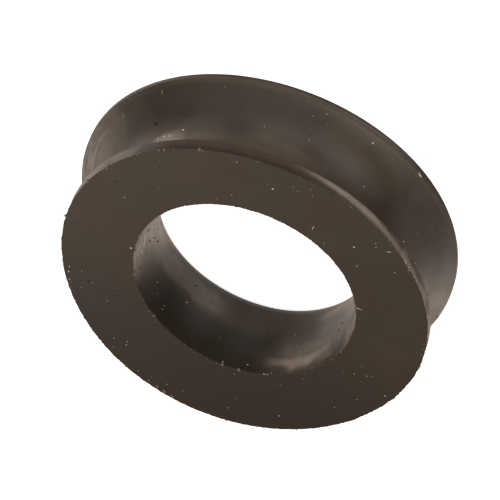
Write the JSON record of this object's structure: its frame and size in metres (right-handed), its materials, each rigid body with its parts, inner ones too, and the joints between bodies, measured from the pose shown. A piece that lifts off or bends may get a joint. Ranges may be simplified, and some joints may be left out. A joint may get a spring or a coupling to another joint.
{
  "type": "ring seal",
  "caption": "Moulded rubber ring seal with a flat sealing flange, an outer groove, a flared rear lip and a straight bore, for seating in the mouth of a hose coupling.",
  "frame": {"origin": "centre of the rear face, which is the plane that the ring lies on", "axes": "+Z along the ring's axis, from the flared rear lip up to the flat sealing face; X and Y are any two directions across it"},
  "size_m": [0.0342, 0.0342, 0.0088],
  "materials": {
    "rubber": "matte dark brown-black, with dust and cut edges"
  },
  "bodies": {
    "root": {"ring_seal": "rubber"}
  },
  "joints": []
}
